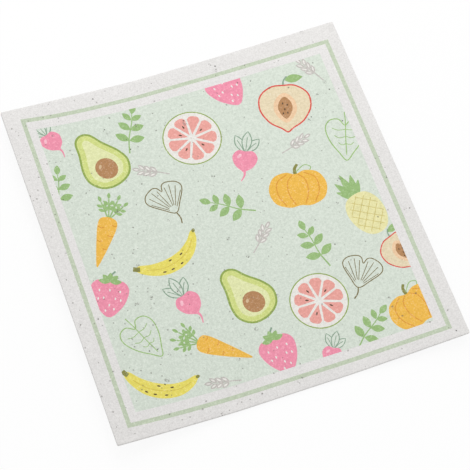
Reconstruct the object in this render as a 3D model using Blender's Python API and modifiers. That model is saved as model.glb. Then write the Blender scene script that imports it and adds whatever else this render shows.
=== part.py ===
"""A printed cellulose sponge cloth lying on a table.

The real cloth is one piece: a thin sheet of cellulose sponge, die-cut to a near square, with
open pores in both faces and along the cut edge. It dried with a slight curl, so a strip down
its middle lies flat on the table and its left and right sides rise clear of it. Its upper face
is printed with a green frame line and a mint field of fruit and herbs. The ink has no thickness,
so each printed area is a set of the face's own polygons with a colour of its own.

The frame has X across the cloth, Y from its near edge to its far edge and Z up. The origin is
on the table, under the middle of the cloth.
"""

import math
import random

import bmesh
import bpy
import numpy as np
from mathutils import Vector
from mathutils.geometry import delaunay_2d_cdt

MM = 0.001

# The sheet
WIDTH = 200.0 * MM
LENGTH = 205.0 * MM
THICKNESS = 1.8 * MM
EDGE_ROUND = 0.3 * MM
EDGE_ROUND_STEPS = 2

# The curl. Outside a flat strip the sheet rises as a power of the distance from the strip.
FLAT_HALF_NEAR = 30.0 * MM
FLAT_HALF_FAR = 19.0 * MM
LIFT_LEFT = 8.0 * MM
LIFT_RIGHT_NEAR = 4.7 * MM
LIFT_RIGHT_FAR = 2.7 * MM
CURL_POWER = 1.25
SLOPE_STEP = 0.5 * MM

# The print: a mint field inside a thin green frame line. Both lie a little off the sheet's
# centre, turned a little against its cut edge.
PRINT_TURN = -0.45
FRAME_LINE_WIDTH = 2.4 * MM
FRAME_INSET_LEFT = 10.6 * MM
FRAME_INSET_RIGHT = 8.6 * MM
FRAME_INSET_NEAR = 8.2 * MM
FRAME_INSET_FAR = 10.5 * MM
FIELD_INSET = 6.0 * MM
MOTIF_UNIT = 1.0 * MM

# The pores: shallow round pits where bubbles of the sponge open into a face or the cut edge
PORE_SEED = 11
FACE_PORES = 90
BACK_PORES = 46
EDGE_PORES = 30
PORE_RADIUS_LEAST = 0.35 * MM
PORE_RADIUS_MOST = 0.85 * MM
PORE_DEPTH = 0.45 * MM
PORE_EDGE_MARGIN = 2.5 * MM
PORE_SPACING = 4.0 * MM
REST_MARGIN = 9.0 * MM
PORE_SEGMENTS = 6
PORE_RINGS = 4
PORE_TRIES = 1600

# How finely the sheet is divided to follow its curl
CURL_STATIONS = 24
LENGTH_STATIONS = 8
SAME_PLACE = 0.03 * MM

# Colours as the eye reads them, from 0 to 255
INKS = {
    "sponge_white": (228, 226, 224),
    "line_green": (198, 209, 189),
    "field_mint": (213, 221, 207),
    "white": (236, 234, 228),
    "rind": (150, 172, 88),
    "coral": (240, 140, 132),
    "lemon": (236, 224, 84),
    "straw": (232, 226, 148),
    "lime": (204, 218, 106),
    "pale_lime": (226, 231, 166),
    "orange": (244, 170, 68),
    "orange_shade": (224, 142, 52),
    "red": (222, 92, 82),
    "cream": (238, 222, 184),
    "pink": (240, 120, 154),
    "stone": (184, 138, 96),
    "olive": (140, 140, 76),
    "sprig": (156, 190, 126),
    "leaf_line": (160, 194, 124),
    "brown_line": (126, 114, 74),
    "stem": (140, 166, 144),
    "ear": (198, 193, 188),
}
SPONGE_ROUGHNESS = 0.95


def flat_half_width(y):
    """Half the width of the strip that lies flat, at this distance along the sheet."""
    far_share = y / LENGTH + 0.5
    return FLAT_HALF_NEAR + (FLAT_HALF_FAR - FLAT_HALF_NEAR) * far_share


def underside_height(x, y):
    """Height of the sheet's underside above the table."""
    far_share = y / LENGTH + 0.5
    lift_right = LIFT_RIGHT_NEAR + (LIFT_RIGHT_FAR - LIFT_RIGHT_NEAR) * far_share
    lift = lift_right if x > 0 else LIFT_LEFT
    flat = flat_half_width(y)
    beyond = max(abs(x) - flat, 0.0) / (WIDTH / 2 - flat)
    return lift * beyond**CURL_POWER


def face_normal(x, y):
    """Upward unit normal of the sheet, from the slopes of its underside."""
    rise_x = underside_height(x + SLOPE_STEP, y) - underside_height(x - SLOPE_STEP, y)
    rise_y = underside_height(x, y + SLOPE_STEP) - underside_height(x, y - SLOPE_STEP)
    return Vector((-rise_x, -rise_y, 2 * SLOPE_STEP)).normalized()


def on_curl(x, y, height):
    """A point of the flat sheet, at a height above its underside, carried onto the curl."""
    return Vector((x, y, underside_height(x, y))) + face_normal(x, y) * height


def turned(points, degrees):
    """Points turned counter-clockwise about the origin."""
    cosine, sine = math.cos(math.radians(degrees)), math.sin(math.radians(degrees))
    return np.asarray(points, float) @ np.array([[cosine, sine], [-sine, cosine]])


def at_angle(reach, degrees):
    """The point at a distance from the origin, at an angle clockwise from straight up."""
    return turned([[0, reach]], -degrees)[0]


def oval(x, y, wide, high, turn=0, corners=12):
    angle = np.arange(corners) * 2 * np.pi / corners
    ring = np.stack([wide / 2 * np.cos(angle), high / 2 * np.sin(angle)], axis=1)
    return turned(ring, turn) + (x, y)


def smooth(points):
    """A closed outline with one more point midway between each two, on the curve through them."""
    points = np.asarray(points, float)
    before, here, after, later = (np.roll(points, shift, axis=0) for shift in (1, 0, -1, -2))
    midway = (here + after) * 9 / 16 - (before + later) / 16
    return np.stack([here, midway], axis=1).reshape(-1, 2)


def mirrored(half):
    """A closed outline from its right half, which runs from its top to its foot."""
    half = np.asarray(half, float)
    image = half[::-1] * (-1, 1)
    return np.vstack([half, image[np.abs(image[:, 0]) > 1e-6]])


def stroke(points, width, taper=1.0):
    """A pen line: the points, set out to each side by half the width."""
    middle = np.asarray(points, float)
    along = np.gradient(middle, axis=0)
    along /= np.linalg.norm(along, axis=1, keepdims=True)
    side = np.stack([-along[:, 1], along[:, 0]], axis=1)
    side *= width / 2 * np.linspace(1, taper, len(middle))[:, None]
    return np.vstack([middle + side, (middle - side)[::-1]])


def doubled_area(loop):
    """Twice a loop's area, positive where it runs counter-clockwise."""
    after = np.roll(loop, -1, axis=0)
    return np.sum(loop[:, 0] * after[:, 1] - loop[:, 1] * after[:, 0])


def grown(loop, by):
    """A loop with each point moved outward, square to the line between its neighbours."""
    along = np.roll(loop, -1, axis=0) - np.roll(loop, 1, axis=0)
    along /= np.linalg.norm(along, axis=1, keepdims=True)
    outward = np.stack([along[:, 1], -along[:, 0]], axis=1) * np.sign(doubled_area(loop))
    return loop + outward * by


def leaf(foot, tip, width, widest=0.5, steps=4):
    """A pointed leaf: its half-width is a sine of the share of the way from foot to tip, with
    that share bent so that the peak comes where the leaf is widest."""
    foot, tip = np.asarray(foot, float), np.asarray(tip, float)
    share = np.linspace(0, 1, steps + 1)
    half = width / 2 * np.sin(np.pi * share ** (math.log(0.5) / math.log(widest))) ** 0.85
    along = tip - foot
    side = np.array([-along[1], along[0]]) / np.linalg.norm(along)
    middle = foot + share[:, None] * along
    return np.vstack([middle + side * half[:, None], (middle - side * half[:, None])[-2:0:-1]])


def grapefruit(segments=9):
    """A slice across: nine wedges on white pith, inside a thin rind."""
    art = [("rind", oval(0, 0, 31.0, 31.0, corners=24)), ("white", oval(0, 0, 29.8, 29.8, corners=24))]
    spread = np.linspace(-0.86, 0.86, 4) * math.pi / segments
    for number in range(segments):
        middle = 2 * math.pi * (number + 0.5) / segments
        reach = 12.9 * (1 - 0.13 * (spread / spread[-1]) ** 4)
        rim = np.stack([reach * np.cos(middle + spread), reach * np.sin(middle + spread)], axis=1)
        point = 2.1 * np.array([math.cos(middle), math.sin(middle)])
        art.append(("coral", np.vstack([point, rim])))
    return art


def banana():
    outer = [(-19, 6), (-15, 0.2), (-8, -4.8), (1, -6.8), (10, -5.2), (16.6, -0.6), (19.4, 4.4)]
    inner = [(17.8, 5.6), (12.4, 2.8), (5, 1.2), (-3, 2.0), (-10.4, 4.6), (-16.6, 8.2)]
    art = [("lemon", smooth(outer + inner))]
    art.append(("olive", stroke([(-19.6, 8.6), (-18.2, 7.2), (-16.9, 6.2)], 2.6)))
    return art + [("olive", oval(19.3, 4.9, 2.4, 1.8, 40, 6))]


def pineapple():
    art = []
    for lean, high, wide in ((42, 11, 3.6), (-42, 11, 3.6), (22, 14, 4.2), (-22, 14, 4.2), (0, 16, 4.4)):
        art.append(("sprig", leaf((0, 8.6), at_angle(high, lean) + (0, 9.4), wide, 0.4)))
    body = mirrored([(0, 11.2), (6.4, 9.4), (9.8, 2.8), (9.4, -6.0), (5.6, -13.0), (0, -15.0)])
    return art + [("straw", smooth(body))]


def avocado():
    half = [(0, 17), (4.8, 14.6), (7.6, 7.6), (11.8, -1.2), (12.6, -8.6), (8.2, -15.2), (0, -17.4)]
    skin = smooth(mirrored(half))
    art = [("rind", skin), ("lime", grown(skin, -1.1)), ("pale_lime", grown(skin, -3.9)[::2])]
    return art + [("stone", oval(0, -6.2, 11.6, 12.2))]


def peach():
    art = [("stem", stroke([(0, 12.4), (0.8, 15.6), (2.8, 18.0)], 0.9))]
    art.append(("sprig", leaf((1.4, 15.8), (11.4, 17.2), 5.0, 0.45)))
    half = [(0, 13.0), (7.0, 12.4), (13.4, 7.0), (14.2, -1.6), (9.6, -9.6), (3.4, -13.8), (0, -16.2)]
    skin = smooth(mirrored(half))
    art += [("red", skin), ("cream", grown(skin, -0.85))]
    return art + [("stone", mirrored([(0, 5.6), (3.4, 2.0), (3.6, -3.0), (0, -7.8)]))]


def pumpkin():
    art = [("olive", stroke([(0, 8.0), (0.2, 11.4), (2.0, 13.8)], 2.0, 0.7))]
    half = [(0, 8.2), (5.4, 9.8), (12.2, 7.6), (15.6, 0.4), (13.2, -7.4), (6.0, -10.8), (0, -10.2)]
    art.append(("orange", smooth(mirrored(half))))
    for side in (-1, 1):
        inner = [(side * 1.4, 8.0), (side * 4.8, 4.2), (side * 5.2, -3.0), (side * 2.6, -9.6)]
        outer = [(side * 4.6, 8.6), (side * 10.4, 4.6), (side * 11.0, -2.8), (side * 7.6, -9.6)]
        art += [("orange_shade", stroke(inner, 0.6)), ("orange_shade", stroke(outer, 0.6))]
    return art


def carrot():
    art = []
    for lean in (-46, -22, 0, 22, 46):
        art.append(("sprig", leaf((0, 10.2), at_angle(14.5 - abs(lean) * 0.06, lean) + (0, 10.4), 3.0, 0.7)))
    half = [(0, 12.0), (4.2, 10.6), (5.2, 6.4), (4.0, -2.0), (2.0, -12.0), (0, -19.0)]
    return art + [("orange", mirrored(half))]


def strawberry():
    half = [(0, 7.0), (5.6, 7.8), (8.6, 3.8), (7.0, -3.0), (3.0, -8.6), (0, -10.4)]
    art = [("pink", smooth(mirrored(half)))]
    for x, y in ((-4.6, 2.6), (0, 3.0), (4.6, 2.6), (-2.6, -1.0), (2.6, -1.0), (0, -4.4)):
        art.append(("white", oval(x, y, 0.9, 1.5, 0, 4)))
    for lean in (-78, -40, 0, 40, 78):
        art.append(("sprig", leaf((0, 7.0), at_angle(5.4, lean) + (0, 6.4), 2.6, steps=3)))
    return art


def radish():
    """A plump radish with a thin bent root, under three open leaves."""
    art = []
    for tip, width in (((-5.8, 12.6), 4.6), ((6.2, 11.8), 4.6), ((0.4, 15.4), 5.0)):
        blade = leaf((0, 3.2), tip, width, 0.55)
        art += [("stem", grown(blade, 0.15)), ("field_mint", grown(blade, -0.45))]
    art.append(("pink", stroke([(0, -5.4), (0.5, -8.6), (-0.9, -12.0)], 1.5, 0.3)))
    half = [(0, 4.4), (3.8, 4.6), (6.2, 1.0), (4.6, -3.6), (1.4, -6.2), (0, -7.0)]
    return art + [("pink", mirrored(half))]


def fan_leaf():
    """A fan-shaped leaf in pen line, notched at the top, with ribs fanning from its stalk."""
    half = [(0, 7.0), (1.7, 10.2), (4.8, 11.0), (10.2, 8.4), (11.4, 3.6), (5.6, -3.4), (0, -8.4)]
    edge = mirrored(half)
    art = [("brown_line", grown(edge, 0.3)), ("field_mint", grown(edge, -0.3))]
    art.append(("brown_line", stroke([(0, -8.2), (0.4, -12.0), (-0.8, -15.6)], 0.75)))
    for lean, reach in ((33, 15.4), (12, 15.4)):
        for side in (-1, 1):
            foot = at_angle(reach * 0.25, side * lean) - (0, 7.6)
            tip = at_angle(reach, side * lean) - (0, 7.0)
            art.append(("brown_line", stroke([foot, tip], 0.5)))
    return art


def heart_leaf():
    """A heart-shaped leaf in green line, with a stalk and a midrib."""
    half = [(0, 7.2), (3.6, 11.0), (8.8, 10.2), (11.0, 5.0), (8.6, -2.8), (4.0, -9.6), (0, -14.4)]
    edge = mirrored(half)
    art = [("leaf_line", grown(edge, 0.32)), ("field_mint", grown(edge, -0.32))]
    return art + [("leaf_line", stroke([(0, 15.4), (0.3, 9.0), (0, 0), (0, -11.0)], 0.6))]


def mint_sprig():
    art = [("sprig", stroke([(0.6, -15.5), (-0.4, -6), (0.4, 4), (0, 11)], 0.85, 0.6))]
    for y, size, lift in ((-7.4, 8.8, 70), (-0.6, 8.2, 62), (5.6, 6.6, 54)):
        for side in (-1, 1):
            art.append(("sprig", leaf((0, y), at_angle(size, side * lift) + (0, y), size * 0.52, steps=3)))
    return art + [("sprig", leaf((0, 9.6), (0.4, 16.4), 3.8, steps=3))]


def wheat_ear():
    art = [("ear", stroke([(0, -10), (0.3, -4), (0, 3)], 0.65))]
    for y in (-3.4, -0.2, 3.0):
        for side in (-1, 1):
            art.append(("ear", leaf((side * 0.2, y), (side * 3.0, y + 4.4), 2.4, steps=3)))
    return art + [("ear", leaf((0, 5.4), (0, 10.4), 2.3, steps=3))]


# Where the motifs go: each with its place, as shares of the field's half-width and half-length
# from its middle, its turn and its size
PRINTED = [
    (radish, -0.93, 0.90, 24, 1.0),
    (avocado, -0.67, 0.70, 20, 1.08),
    (mint_sprig, -0.40, 0.86, -22, 1.0),
    (grapefruit, -0.03, 0.68, 8, 1.08),
    (strawberry, 0.31, 0.96, 18, 1.25),
    (peach, 0.64, 0.71, -14, 1.05),
    (wheat_ear, 0.89, 0.91, 30, 1.05),
    (mint_sprig, -0.99, 0.56, -12, 0.9),
    (wheat_ear, -0.37, 0.53, 66, 1.05),
    (carrot, -0.81, 0.17, -30, 1.02),
    (fan_leaf, -0.33, 0.30, 14, 0.98),
    (radish, 0.25, 0.43, -24, 1.15),
    (heart_leaf, 0.94, 0.37, -18, 1.02),
    (wheat_ear, 0.61, 0.43, -72, 1.0),
    (banana, -0.44, -0.09, 24, 1.06),
    (mint_sprig, 0.03, 0.15, 60, 1.0),
    (pumpkin, 0.51, 0.13, -10, 1.05),
    (strawberry, -0.91, -0.23, -20, 1.2),
    (wheat_ear, 0.16, -0.12, -44, 1.05),
    (pineapple, 0.87, -0.16, 14, 1.02),
    (heart_leaf, -0.79, -0.55, 26, 0.95),
    (avocado, -0.07, -0.45, 24, 1.04),
    (radish, -0.44, -0.40, 20, 1.15),
    (mint_sprig, 0.47, -0.27, 12, 1.0),
    (grapefruit, 0.36, -0.64, 20, 1.05),
    (fan_leaf, 0.68, -0.56, -32, 0.95),
    (peach, 0.99, -0.49, 20, 0.8),
    (carrot, -0.36, -0.74, 56, 1.0),
    (banana, -0.79, -0.88, -14, 1.02),
    (strawberry, 0.00, -0.89, 8, 1.2),
    (wheat_ear, -0.41, -0.96, 80, 1.0),
    (pumpkin, 0.93, -0.87, 16, 1.0),
    (mint_sprig, 0.61, -0.91, -52, 0.95),
    (radish, 0.31, -1.00, -30, 0.9),
]


def rectangle(shrink):
    """Low and high corner of the frame line's middle, brought in by a margin."""
    low = np.array([-WIDTH / 2 + FRAME_INSET_LEFT, -LENGTH / 2 + FRAME_INSET_NEAR]) + shrink
    high = np.array([WIDTH / 2 - FRAME_INSET_RIGHT, LENGTH / 2 - FRAME_INSET_FAR]) - shrink
    return low, high


def round_rectangle(low, high):
    """Points round a rectangle, counter-clockwise, close enough together to follow the curl."""
    across = np.linspace(low[0], high[0], CURL_STATIONS + 1)
    along = np.linspace(low[1], high[1], LENGTH_STATIONS + 1)
    near = [(x, low[1]) for x in across[:-1]]
    right = [(high[0], y) for y in along[:-1]]
    far = [(x, high[1]) for x in across[:0:-1]]
    left = [(low[0], y) for y in along[:0:-1]]
    return np.array(near + right + far + left)


def cut_off(loop, low, high):
    """What is left of a loop inside a rectangle: past each side in turn, its points are dropped
    and a point goes in wherever it crosses that side."""
    for axis, limit, sign in ((0, low[0], -1), (1, low[1], -1), (0, high[0], 1), (1, high[1], 1)):
        if len(loop) == 0:
            break
        over = (loop[:, axis] - limit) * sign
        over_after = np.roll(over, -1)
        crosses = (over > 0) != (over_after > 0)
        share = np.where(crosses, over / np.where(crosses, over - over_after, 1), 0)
        crossing = loop + share[:, None] * (np.roll(loop, -1, axis=0) - loop)
        points = np.stack([loop, crossing], axis=1).reshape(-1, 2)
        loop = points[np.stack([over <= 0, crosses], axis=1).ravel()]
    return loop


def whole_print():
    """Every printed area as an ink and an outline, from the lowest to the topmost."""
    half_line = FRAME_LINE_WIDTH / 2
    field = rectangle(FIELD_INSET)
    areas = [
        ("line_green", round_rectangle(*rectangle(-half_line))),
        ("sponge_white", round_rectangle(*rectangle(half_line))),
        ("field_mint", round_rectangle(*field)),
    ]
    middle, half_size = (field[0] + field[1]) / 2, (field[1] - field[0]) / 2
    for motif, share_x, share_y, turn, size in PRINTED:
        place = middle + half_size * (share_x, share_y)
        for ink, outline in motif():
            outline = cut_off(turned(outline, turn) * size * MOTIF_UNIT + place, *field)
            if len(outline) > 2:
                areas.append((ink, outline))
    return [(ink, turned(outline, PRINT_TURN)) for ink, outline in areas]


def sheet_rim():
    half = np.array([WIDTH, LENGTH]) / 2
    return round_rectangle(-half, half)


def sheet_grid():
    """Points inside the sheet, level with those of its rim."""
    across = np.linspace(-WIDTH / 2, WIDTH / 2, CURL_STATIONS + 1)[1:-1]
    along = np.linspace(-LENGTH / 2, LENGTH / 2, LENGTH_STATIONS + 1)[1:-1]
    return [(x, y) for x in across for y in along]


def covered(outline, x, y):
    """Which points lie inside an outline: those from which it is crossed an odd number of times
    on the way to the left."""
    inside = np.zeros(len(x), bool)
    for (x0, y0), (x1, y1) in zip(outline, np.roll(outline, -1, axis=0)):
        if y0 != y1:
            level = (y0 > y) != (y1 > y)
            inside ^= level & (x > x0 + (y - y0) * (x1 - x0) / (y1 - y0))
    return inside


def divided_face(areas):
    """One flat face as triangles that follow the outline of each printed area, with the slot of
    the ink that lies topmost in each triangle, or 0 on the bare sheet."""
    points, edges = [], []
    for loop in [sheet_rim()] + [outline for _, outline in areas]:
        first, count = len(points), len(loop)
        edges += [(first + number, first + (number + 1) % count) for number in range(count)]
        points += [tuple(point) for point in loop]
    found = delaunay_2d_cdt(points + sheet_grid(), edges, [], 0, SAME_PLACE)
    places, triangles = found[0], found[2]
    x, y = np.array([tuple(place) for place in places])[np.array(triangles)].mean(axis=1).T
    slots = np.zeros(len(triangles), int)
    for ink, outline in areas:
        slots[covered(outline, x, y)] = list(INKS).index(ink)
    return places, triangles, slots


def sheet_mesh():
    """The closed sheet on its curl: the printed face, the plain back and the wall between."""
    around = len(sheet_rim())
    shape = bmesh.new()
    rims = []
    for areas, height, order in ((whole_print(), THICKNESS, 1), ([], 0.0, -1)):
        places, triangles, slots = divided_face(areas)
        verts = [shape.verts.new(on_curl(place.x, place.y, height)) for place in places]
        for corners, slot in zip(triangles, slots):
            face = shape.faces.new([verts[corner] for corner in corners][::order])
            face.material_index = slot
        rims.append(verts[:around])
    upper, lower = rims
    for here in range(around):
        after = (here + 1) % around
        shape.faces.new((upper[here], lower[here], lower[after], upper[after]))
    mesh = bpy.data.meshes.new("sponge_cloth")
    shape.to_mesh(mesh)
    shape.free()
    return mesh


def linear(value):
    """A part of a colour as the eye reads it, from 0 to 255, to the linear light of a render."""
    share = value / 255
    return share / 12.92 if share <= 0.04045 else ((share + 0.055) / 1.055) ** 2.4


def material(name, colour):
    made = bpy.data.materials.new(name)
    made.use_nodes = True
    shader = made.node_tree.nodes["Principled BSDF"]
    light = [linear(value) for value in colour]
    shader.inputs["Base Color"].default_value = (*light, 1.0)
    shader.inputs["Roughness"].default_value = SPONGE_ROUGHNESS
    shader.inputs["Metallic"].default_value = 0.0
    made.diffuse_color = (*light, 1.0)
    return made


def collection(name):
    made = bpy.data.collections.new(name)
    bpy.context.scene.collection.children.link(made)
    return made


def pore_sites(count, low, high, seed, taken=()):
    """Random points of a rectangle, each clear of the others and of the mount under the middle."""
    chance = random.Random(seed)
    sites = list(taken)
    for _ in range(PORE_TRIES):
        if len(sites) >= count + len(taken):
            break
        site = Vector((chance.uniform(low[0], high[0]), chance.uniform(low[1], high[1])))
        apart = all((site - other).length > PORE_SPACING for other in sites)
        if apart and site.length > REST_MARGIN:
            sites.append(site)
    return sites[len(taken):]


def edge_sites(chance):
    """Points halfway up the cut edge, spread round the four sides, with the outward direction."""
    perimeter = 2 * (WIDTH + LENGTH)
    sites = []
    for number in range(EDGE_PORES):
        walked = (number + chance.uniform(0.25, 0.75)) * perimeter / EDGE_PORES
        sides = ((WIDTH, (0, -1)), (LENGTH, (1, 0)), (WIDTH, (0, 1)), (LENGTH, (-1, 0)))
        for side, (out_x, out_y) in sides:
            if walked <= side:
                break
            walked -= side
        share = min(max(walked, PORE_EDGE_MARGIN), side - PORE_EDGE_MARGIN) - side / 2
        x = out_x * WIDTH / 2 - out_y * share
        y = out_y * LENGTH / 2 + out_x * share
        sites.append((on_curl(x, y, THICKNESS / 2), Vector((out_x, out_y, 0.0))))
    return sites


def pore_cutter(shape, centre, normal, radius, depth):
    """Adds one flattened ball to a mesh, its short axis along the surface's normal."""
    made = bmesh.ops.create_uvsphere(shape, u_segments=PORE_SEGMENTS, v_segments=PORE_RINGS, radius=1.0)
    turn = normal.to_track_quat("Z", "Y").to_matrix().to_4x4()
    bmesh.ops.scale(shape, vec=(radius, radius, depth), verts=made["verts"])
    bmesh.ops.rotate(shape, matrix=turn, verts=made["verts"])
    bmesh.ops.translate(shape, vec=centre, verts=made["verts"])


def pore_cutters(cutters):
    """One object with all the balls that open the pores of the face, the back and the cut edge."""
    chance = random.Random(PORE_SEED)
    shape = bmesh.new()
    corner = Vector((WIDTH / 2 - PORE_EDGE_MARGIN, LENGTH / 2 - PORE_EDGE_MARGIN))
    face_sites = pore_sites(FACE_PORES, -corner, corner, PORE_SEED + 1)
    back_sites = pore_sites(BACK_PORES, -corner, corner, PORE_SEED + 2, taken=face_sites)
    for sites, height in ((face_sites, THICKNESS), (back_sites, 0.0)):
        for site in sites:
            radius = chance.triangular(PORE_RADIUS_LEAST, PORE_RADIUS_MOST, PORE_RADIUS_LEAST)
            mouth = on_curl(site.x, site.y, height)
            pore_cutter(shape, mouth, face_normal(site.x, site.y), radius, PORE_DEPTH)
    for place, outward in edge_sites(chance):
        radius = chance.uniform(PORE_RADIUS_LEAST, THICKNESS / 3)
        pore_cutter(shape, place, outward, radius, PORE_DEPTH)
    mesh = bpy.data.meshes.new("pores")
    shape.to_mesh(mesh)
    shape.free()
    cutter = bpy.data.objects.new("pores", mesh)
    cutters.objects.link(cutter)
    cutter.hide_render = True
    cutter.display_type = "WIRE"
    return cutter


def sponge_cloth(parts, cutters):
    """The whole cloth: the printed sheet on its curl, its cut edge eased, its pores cut."""
    cloth = bpy.data.objects.new("sponge_cloth", sheet_mesh())
    parts.objects.link(cloth)
    for name, colour in INKS.items():
        cloth.data.materials.append(material(name, colour))

    eased = cloth.modifiers.new("crushed_edge", "BEVEL")
    eased.width = min(EDGE_ROUND, THICKNESS / 3)
    eased.segments = EDGE_ROUND_STEPS
    eased.limit_method = "ANGLE"
    eased.angle_limit = math.radians(60)

    pores = cloth.modifiers.new("open_pores", "BOOLEAN")
    pores.operation = "DIFFERENCE"
    pores.solver = "EXACT"
    pores.object = pore_cutters(cutters)
    return cloth


def main():
    for leftover in list(bpy.data.objects):
        bpy.data.objects.remove(leftover)
    parts = collection("sponge_cloth_parts")
    cutters = collection("cutters")
    sponge_cloth(parts, cutters)


main()
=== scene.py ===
"""The looks of a printed cellulose sponge cloth that lies on a white table.

The cloth is one piece, so the scene has one piece: the curled, open-pored sheet with a print of
fruit and herbs in its upper face. After it come the table, the light and the camera.
"""
import math

import bpy
import numpy as np
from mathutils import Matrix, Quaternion, Vector
from mathutils.geometry import delaunay_2d_cdt


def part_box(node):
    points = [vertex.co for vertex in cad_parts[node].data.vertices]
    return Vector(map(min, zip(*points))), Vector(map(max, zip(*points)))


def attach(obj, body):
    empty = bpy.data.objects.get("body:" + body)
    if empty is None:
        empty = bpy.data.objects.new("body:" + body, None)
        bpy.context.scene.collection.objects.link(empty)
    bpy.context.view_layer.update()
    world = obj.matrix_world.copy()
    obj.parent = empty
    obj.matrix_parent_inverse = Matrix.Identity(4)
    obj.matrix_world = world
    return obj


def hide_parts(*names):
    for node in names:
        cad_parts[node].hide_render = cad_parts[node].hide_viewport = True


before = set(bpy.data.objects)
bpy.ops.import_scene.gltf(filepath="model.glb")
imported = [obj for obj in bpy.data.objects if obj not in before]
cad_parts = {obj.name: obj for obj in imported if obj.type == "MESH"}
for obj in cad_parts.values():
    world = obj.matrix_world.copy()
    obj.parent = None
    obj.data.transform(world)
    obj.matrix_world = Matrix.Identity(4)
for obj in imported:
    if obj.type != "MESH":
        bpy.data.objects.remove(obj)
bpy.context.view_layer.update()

# The sheet. The cloth is a single layer of cellulose sponge with cotton fibres cast into it. It
# is dried in a thin web and die-cut to a near square, so its faces and its cut edge show the
# same open pores. It has dried with a slight curl: its sides rise from a strip that lies flat.
MM = 0.001
sheet_low, sheet_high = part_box("sponge_cloth")
WIDTH, LENGTH, HEIGHT = sheet_high - sheet_low
THICKNESS = 1.8 * MM
FLAT_HALF_NEAR = 30.0 * MM
FLAT_HALF_FAR = 19.0 * MM
LIFT_LEFT = HEIGHT - THICKNESS
LIFT_RIGHT_NEAR = 4.7 * MM
LIFT_RIGHT_FAR = 2.7 * MM
CURL_POWER = 1.25


def curl_height(x, y):
    """Height of the underside: nothing within the flat strip, whose half-width narrows from the
    near edge to the far edge, and beyond it the side's lift times a power of the share of the
    way from the strip to the side."""
    far_share = y / LENGTH + 0.5
    flat = FLAT_HALF_NEAR + (FLAT_HALF_FAR - FLAT_HALF_NEAR) * far_share
    lift_right = LIFT_RIGHT_NEAR + (LIFT_RIGHT_FAR - LIFT_RIGHT_NEAR) * far_share
    beyond = np.maximum(np.abs(x) - flat, 0) / (WIDTH / 2 - flat)
    return np.where(x < 0, LIFT_LEFT, lift_right) * beyond**CURL_POWER


def bent(x, y, height):
    """Points of the flat sheet carried onto its curl: each goes up to the underside there, then
    along the underside's normal by its own height in the sheet."""
    step = 0.5 * MM
    slope_x = (curl_height(x + step, y) - curl_height(x - step, y)) / (2 * step)
    slope_y = (curl_height(x, y + step) - curl_height(x, y - step)) / (2 * step)
    normal = np.stack([-slope_x, -slope_y, np.ones_like(x)], axis=-1)
    normal /= np.linalg.norm(normal, axis=-1, keepdims=True)
    return np.stack([x, y, curl_height(x, y)], axis=-1) + normal * height[..., None]


# The cut edge goes round the sheet as one profile, with both its arrises crushed a little round.
ARRIS = 0.35 * MM
CORNER_RADIUS = 0.5 * MM
CORNER_STEPS = 4
EDGE_PITCH = 0.5 * MM
EDGE_ROWS = 9


def outline_stations():
    """Stations round the face, counter-clockwise from the near right corner, with the outward
    direction at each: a point slides along the sides of a rectangle and stops at its corners,
    and an arm of the corner's radius points outward from it, turning only at the corners."""
    reach = ARRIS + CORNER_RADIUS
    half = np.array([WIDTH / 2 - reach, LENGTH / 2 - reach])
    corners = np.array([[1, -1], [1, 1], [-1, 1], [-1, -1]]) * half
    places, angles = [], []
    for number, corner in enumerate(corners):
        after = corners[(number + 1) % 4]
        side_steps = round(np.linalg.norm(after - corner) / EDGE_PITCH)
        turn = np.linspace(0, 1, CORNER_STEPS, endpoint=False)
        slide = np.linspace(0, 1, side_steps, endpoint=False)
        places.append(np.repeat([corner], CORNER_STEPS, axis=0))
        places.append(corner + slide[:, None] * (after - corner))
        angles += [(number - 1 + turn) * np.pi / 2, np.full(side_steps, number * np.pi / 2)]
    angle = np.concatenate(angles)
    outward = np.stack([np.cos(angle), np.sin(angle)], axis=1)
    return np.concatenate(places) + outward * CORNER_RADIUS, outward


def edge_profile():
    """The cut edge's section, from the face down to the back, as distances outward and heights:
    a quarter round of the arris at each end of an upright stretch."""
    share = np.linspace(0, 1, EDGE_ROWS + 1)
    across = np.interp(share, [0, 1 / 3, 2 / 3, 1], [0, 90, 90, 180])
    out = ARRIS * np.sin(np.radians(across))
    upright = (THICKNESS - 2 * ARRIS) * np.interp(share, [1 / 3, 2 / 3], [1, 0])
    return out, ARRIS + upright + ARRIS * np.cos(np.radians(across))


# Pores open where bubbles of the sponge meet a surface. Each is a shallow pit with an uneven rim.
# They are drawn at random, most of them small, and on the face closer together to the left.
PORE_SEED = 5
FACE_PORES = 620
BACK_PORES = 420
EDGE_PORES = 420
PORE_LEAST = 0.17 * MM
PORE_MOST = 0.62 * MM
PORE_SMALLNESS = 5
LEFT_PULL = 0.25
PORE_MARGIN = 1.6 * MM
EDGE_PORE_LEAST = 0.3 * MM
EDGE_PORE_SPREAD = 0.4
PORE_DEPTH_SHARE = 0.4
PORE_RIM_WAVE = 0.2
PORE_RINGS = ((1.25, 8), (1.0, 9), (0.66, 7))
BOWL_POWER = 0.7
RELIEF = 0.02 * MM
RELIEF_WAVES = 9
RELIEF_PITCHES = (6 * MM, 28 * MM)


def scattered_pores(random, count, half_x, half_y, left_pull=0.0):
    """Pores of one surface, a row of values for each: place, radius, and where its rim bulges.
    A radius is the least one plus a high power of a random share of the spread."""
    share = random.random(count)
    x = (2 * share ** (1 + left_pull) - 1) * half_x
    y = random.uniform(-half_y, half_y, count)
    radius = PORE_LEAST + (PORE_MOST - PORE_LEAST) * random.random(count) ** PORE_SMALLNESS
    return np.stack([x, y, radius, random.uniform(0, 2 * np.pi, count)], axis=1)


def rim_reach(pores, angle):
    """How far each pore's rim is from its middle at an angle: its radius, swelling twice round."""
    return pores[:, 2, None] * (1 + PORE_RIM_WAVE * np.cos(2 * (angle - pores[:, 3, None])))


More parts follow.
